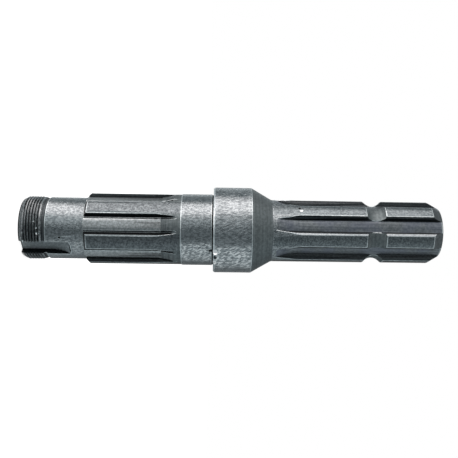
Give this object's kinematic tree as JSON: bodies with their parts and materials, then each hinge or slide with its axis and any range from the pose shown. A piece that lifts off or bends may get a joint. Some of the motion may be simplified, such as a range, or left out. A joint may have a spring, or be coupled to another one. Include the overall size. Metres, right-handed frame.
{
  "type": "power take-off shaft",
  "caption": "One-piece steel stub shaft with a slotted threaded end, straight-sided hub spline, ground seat, collar and grooved output spline.",
  "frame": {"origin": "centre of the threaded end's face, on which the shaft stands", "axes": "+Z along the shaft's axis to the tip of the output spline; -Y through the middle of the lock-washer slot"},
  "size_m": [0.048, 0.048, 0.2321],
  "materials": {
    "steel": "turned, milled and partly ground steel, darkened by oil and heat"
  },
  "bodies": {
    "root": {"pto_shaft": "steel"}
  },
  "joints": []
}
